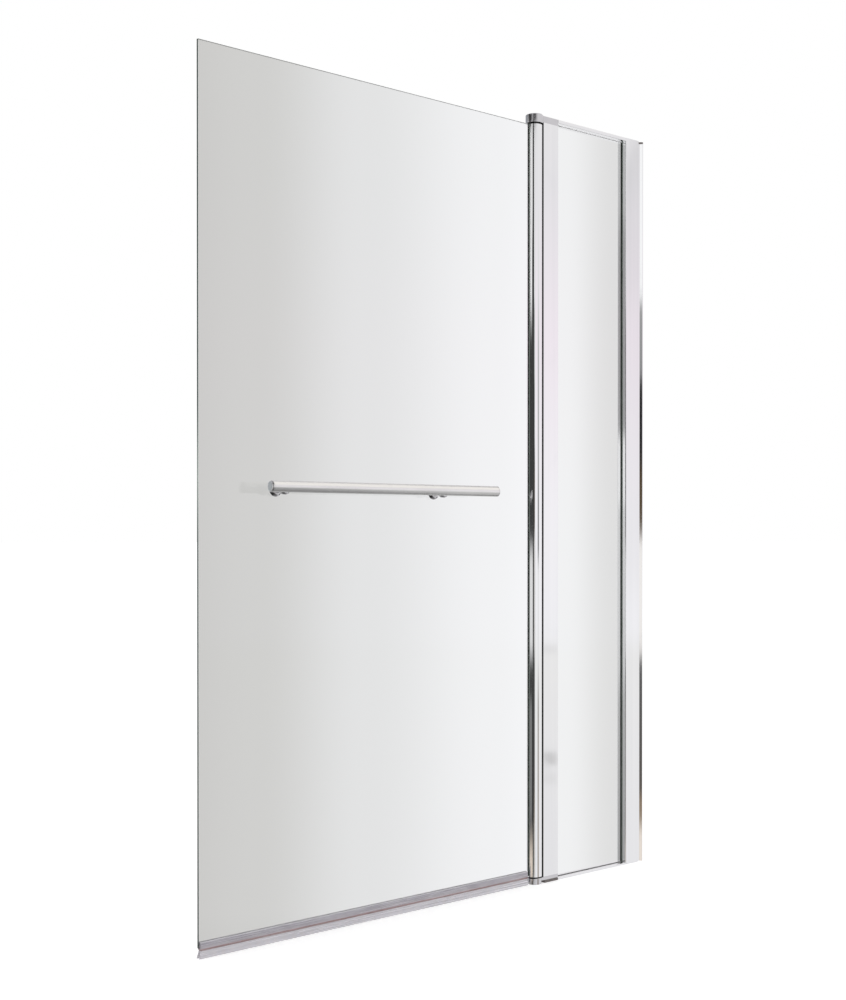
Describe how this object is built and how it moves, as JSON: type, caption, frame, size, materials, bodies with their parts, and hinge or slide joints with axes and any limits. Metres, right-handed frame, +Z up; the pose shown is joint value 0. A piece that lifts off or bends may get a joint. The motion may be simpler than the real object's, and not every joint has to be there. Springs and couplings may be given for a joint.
{
  "type": "bath screen",
  "caption": "Square over-bath shower screen: a clear glass door on a round vertical hinge beside a narrow fixed pane in bright metal frame, with a towel rail and a clear bottom seal.",
  "frame": {"origin": "foot of the wall channel's back face, on the bath rim and on the glass's mid plane", "axes": "+X points into the wall, so the screen runs along -X; -Y is the outer side with the towel rail, +Y the bath side; +Z is up"},
  "size_m": [1.005, 0.07, 1.433],
  "materials": {
    "clear_glass": "clear toughened, polished edges",
    "chrome_profile": "bright polished, chrome effect",
    "chrome_fitting": "polished chrome plate",
    "brushed_tube": "satin",
    "stainless": "plain stainless",
    "black_rubber": "smooth black",
    "clear_seal": "clear flexible extrusion, slightly hazy",
    "clear_washer": "clear",
    "dark_plastic": "moulded dark grey",
    "bush_plastic": "moulded nylon"
  },
  "bodies": {
    "fixed_frame": {"wall_channel": "chrome_profile", "wall_channel_cap": "dark_plastic", "glazing_profile": "chrome_profile", "glazing_profile_cap": "chrome_profile", "profile_screws": "stainless", "screw_cover_caps": "chrome_fitting", "fixed_glass": "clear_glass", "wall_side_gasket": "black_rubber", "post_side_gasket": "black_rubber", "top_rail": "chrome_profile", "top_rail_gasket": "clear_seal", "bottom_rail": "chrome_profile", "bottom_rail_gasket": "clear_seal", "hinge_post": "chrome_profile", "hinge_gap_seal": "black_rubber", "hinge_cap_top": "chrome_fitting", "hinge_cap_bottom": "chrome_fitting", "foot_pad": "dark_plastic", "cap_screws_top": "stainless", "cap_screws_bottom": "stainless", "pivot_pin_top": "stainless", "pivot_pin_bottom": "stainless"},
    "door": {"hinge_barrel": "chrome_profile", "barrel_bush_top": "bush_plastic", "barrel_bush_bottom": "bush_plastic", "door_glass": "clear_glass", "door_gasket": "black_rubber", "bottom_seal": "clear_seal", "towel_bar": "brushed_tube", "bar_end_cap_left": "brushed_tube", "bar_end_cap_right": "brushed_tube", "rail_rose_left": "chrome_fitting", "rail_rose_right": "chrome_fitting", "rail_post_left": "chrome_fitting", "rail_post_right": "chrome_fitting", "glass_hole_bushes": "clear_washer", "rail_washers_front": "clear_washer", "rail_washers_rear": "clear_washer", "rail_bolts": "chrome_fitting", "bar_inserts": "stainless"}
  },
  "joints": [
    {"name": "door_hinge", "type": "hinge", "parent": "fixed_frame", "child": "door", "pos_m": [-0.2882, 0, 0.014], "axis": [0, 0, 1], "range_deg": [-90, 90]}
  ]
}
